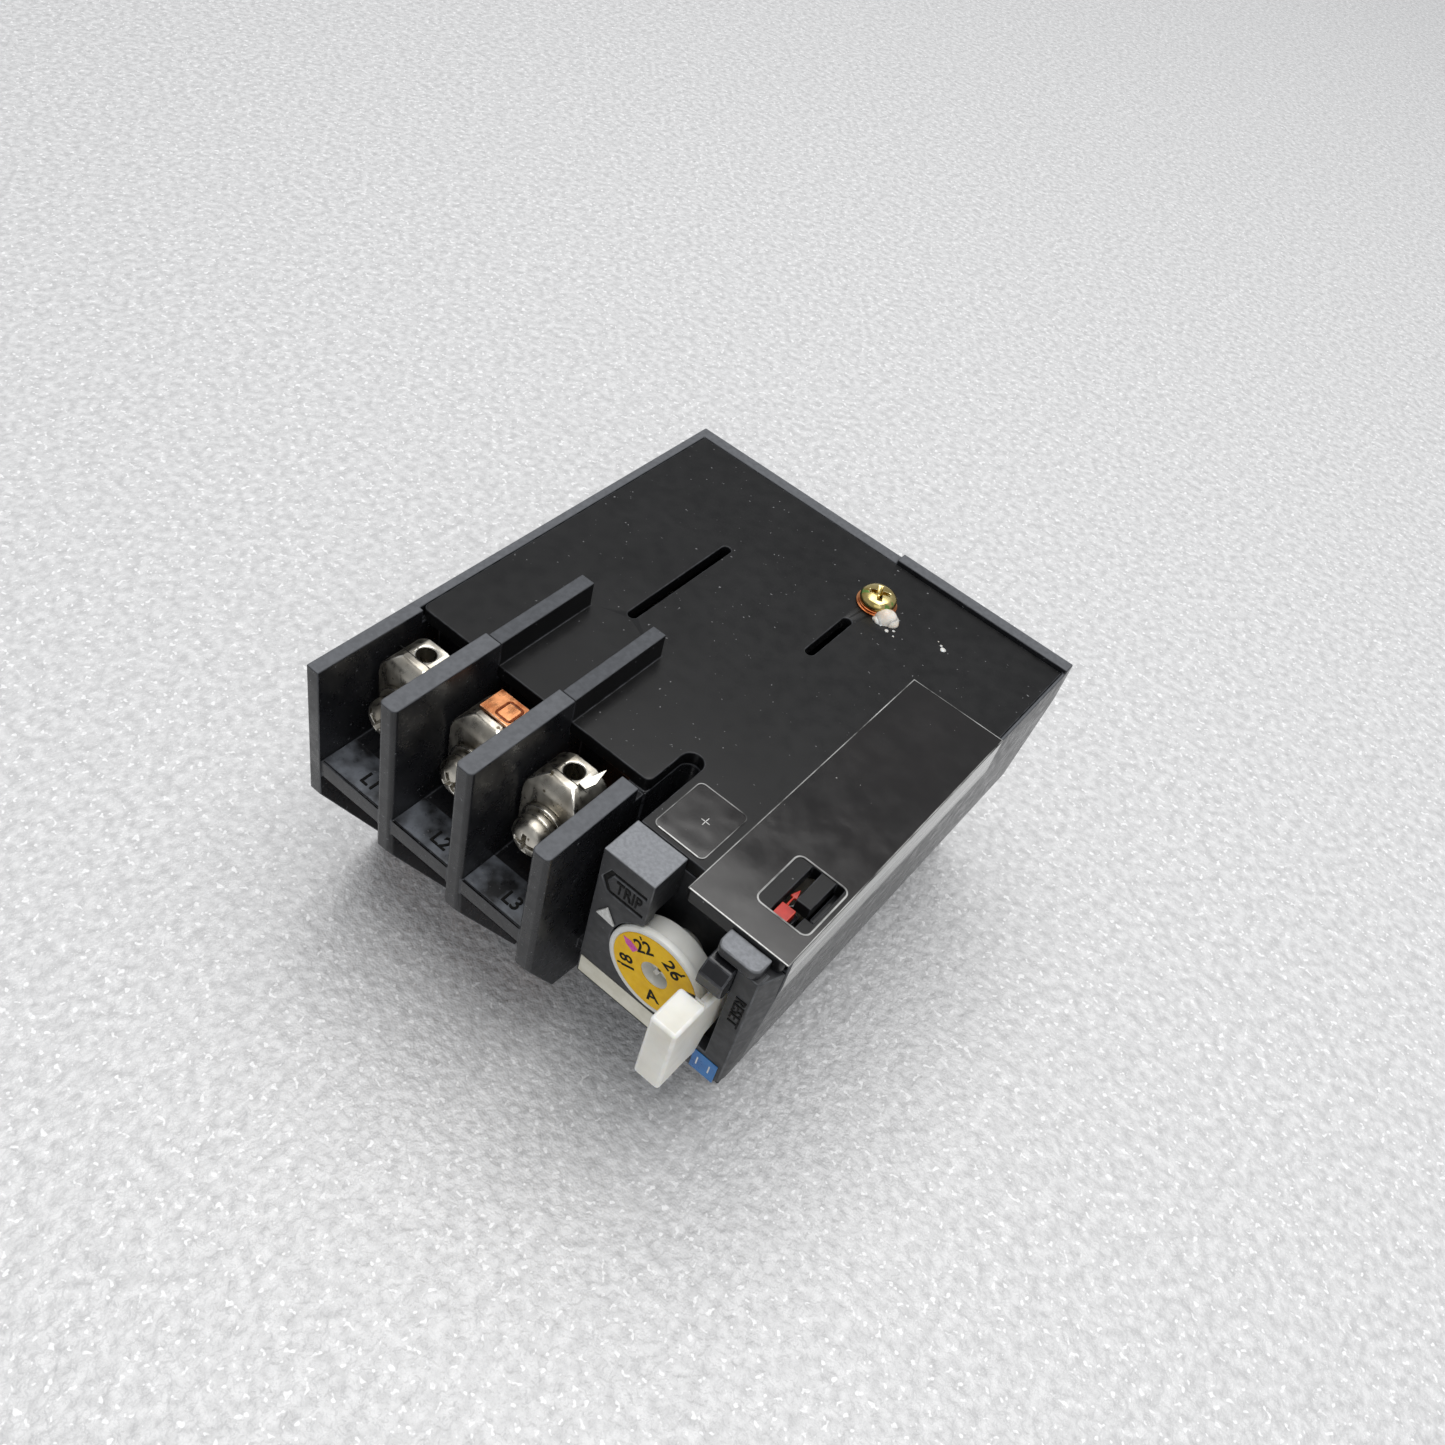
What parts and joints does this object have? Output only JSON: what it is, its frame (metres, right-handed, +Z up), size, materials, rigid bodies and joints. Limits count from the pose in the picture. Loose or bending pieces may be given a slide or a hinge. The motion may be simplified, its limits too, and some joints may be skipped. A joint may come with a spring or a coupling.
{
  "type": "thermal overload relay",
  "caption": "Motor thermal overload relay with open box terminals, current setting dial, reset lever and test slide in a black housing.",
  "frame": {"origin": "middle of the base's outline, in the plane of the base", "axes": "+Z up from the base through the cover, -Y towards the operator's face with the terminals, dial and reset lever, +X across the poles from the first pole to the control panel"},
  "size_m": [0.065, 0.0772, 0.0483],
  "materials": {
    "housing": "moulded, fine grain",
    "cover": "moulded, fine grain",
    "label": "printed paper under film",
    "blue_tag": "gloss",
    "white_print": "pad print",
    "white_plastic": "moulded, satin",
    "yellow_scale": "printed disc",
    "ivory_plastic": "moulded, translucent",
    "red_plastic": "moulded",
    "clear_film": "clear film",
    "lacquer": "dried lacquer",
    "nickel": "nickel plated, worn",
    "zinc": "yellow zinc plated",
    "copper": "bare copper",
    "steel": "spring steel",
    "bimetal": "rolled",
    "heater": "woven sleeve",
    "slider_plastic": "moulded",
    "contact_brass": "rolled"
  },
  "bodies": {
    "root": {"base_housing": "housing", "top_cover": "cover", "control_panel": "housing", "panel_label": "label", "terminal_tag": "blue_tag", "dial_pointer": "white_print", "adjusting_pin": "steel", "lever_guide": "housing", "cover_tab": "cover", "label_film": "clear_film", "corner_film": "clear_film", "seal_screw": "zinc", "seal_washer": "zinc", "seal_drop": "lacquer", "terminal_lug_1": "nickel", "terminal_lug_2": "nickel", "terminal_lug_3": "nickel", "screw_washers": "nickel", "load_strip_1": "copper", "load_strip_2": "copper", "load_strip_3": "copper", "line_tongue_1": "copper", "line_tongue_2": "copper", "line_tongue_3": "copper", "trip_lever_pin": "steel", "rocker_pin": "steel", "closed_contact": "contact_brass", "open_contact": "contact_brass", "aux_terminal_plates": "nickel", "aux_terminal_screws": "nickel"},
    "dial": {"setting_dial": "white_plastic", "dial_scale": "yellow_scale", "dial_cam": "white_plastic"},
    "adjuster": {"adjusting_lever": "steel"},
    "reset": {"reset_lever": "ivory_plastic", "reset_spring": "steel"},
    "test": {"test_slide": "red_plastic", "test_spring": "steel"},
    "screw_1": {"terminal_screw_1": "nickel"},
    "screw_2": {"terminal_screw_2": "nickel"},
    "screw_3": {"terminal_screw_3": "nickel"},
    "heater_1": {"bimetal_1": "bimetal", "heater_coil_1": "heater"},
    "heater_2": {"bimetal_2": "bimetal", "heater_coil_2": "heater"},
    "heater_3": {"bimetal_3": "bimetal", "heater_coil_3": "heater"},
    "slider": {"trip_slider": "slider_plastic"},
    "phase_slider": {"phase_loss_slider": "slider_plastic"},
    "tripper": {"trip_lever": "bimetal"},
    "rocker": {"contact_rocker": "slider_plastic", "moving_contact": "contact_brass", "snap_spring": "steel"}
  },
  "joints": [
    {"name": "dial_turn", "type": "hinge", "parent": "root", "child": "dial", "pos_m": [0.0192, -0.0308, 0.0306], "axis": [0, -1, 0], "range_deg": [-50, 108]},
    {"name": "adjuster_swing", "type": "hinge", "parent": "root", "child": "adjuster", "pos_m": [0.0177, -0.00885, 0.0245], "axis": [0, 0, 1], "range_deg": [-4, 8]},
    {"name": "reset_push", "type": "slide", "parent": "root", "child": "reset", "axis": [0, 1, 0], "range_m": [0, 0.0024], "stiffness_N_per_m": 900, "springref_m": -0.001},
    {"name": "test_push", "type": "slide", "parent": "root", "child": "test", "axis": [0, 1, 0], "range_m": [0, 0.0009], "stiffness_N_per_m": 300, "springref_m": -0.0006},
    {"name": "slider_travel", "type": "slide", "parent": "root", "child": "slider", "axis": [1, 0, 0], "range_m": [0, 0.0016], "stiffness_N_per_m": 200, "springref_m": -0.0004},
    {"name": "phase_slider_travel", "type": "slide", "parent": "root", "child": "phase_slider", "axis": [1, 0, 0], "range_m": [0, 0.0014]},
    {"name": "trip_lever_swing", "type": "hinge", "parent": "root", "child": "tripper", "pos_m": [0.0156, 0.01065, 0.0245], "axis": [0, 0, -1], "range_deg": [0, 6.6]},
    {"name": "contact_swing", "type": "hinge", "parent": "root", "child": "rocker", "pos_m": [0.0225, -0.00335, 0.0245], "axis": [0, 0, 1], "range_deg": [0, 10]},
    {"name": "heater_bend_1", "type": "hinge", "parent": "root", "child": "heater_1", "pos_m": [-0.02554, -0.01035, 0.02], "axis": [0, 0, -1], "range_deg": [0, 2.7]},
    {"name": "heater_bend_2", "type": "hinge", "parent": "root", "child": "heater_2", "pos_m": [-0.01329, -0.01035, 0.02], "axis": [0, 0, -1], "range_deg": [0, 2.7]},
    {"name": "heater_bend_3", "type": "hinge", "parent": "root", "child": "heater_3", "pos_m": [-0.00137, -0.01035, 0.02], "axis": [0, 0, -1], "range_deg": [0, 2.7]},
    {"name": "screw_turn_1", "type": "hinge", "parent": "root", "child": "screw_1", "pos_m": [-0.02554, -0.03115, 0.0362], "axis": [0, -1, 0], "continuous": true},
    {"name": "screw_turn_2", "type": "hinge", "parent": "root", "child": "screw_2", "pos_m": [-0.01329, -0.03115, 0.0362], "axis": [0, -1, 0], "continuous": true},
    {"name": "screw_turn_3", "type": "hinge", "parent": "root", "child": "screw_3", "pos_m": [-0.00137, -0.03115, 0.0362], "axis": [0, -1, 0], "continuous": true}
  ],
  "couplings": [
    {"joint": "adjuster_swing", "follows": "dial_turn", "ratio": 0.068},
    {"joint": "phase_slider_travel", "follows": "slider_travel", "ratio": 0.85},
    {"joint": "trip_lever_swing", "follows": "slider_travel", "rad_per_m": 69.9},
    {"joint": "contact_swing", "follows": "slider_travel", "rad_per_m": 106},
    {"joint": "heater_bend_1", "follows": "slider_travel", "rad_per_m": 28.3},
    {"joint": "heater_bend_2", "follows": "slider_travel", "rad_per_m": 28.3},
    {"joint": "heater_bend_3", "follows": "slider_travel", "rad_per_m": 28.3}
  ]
}
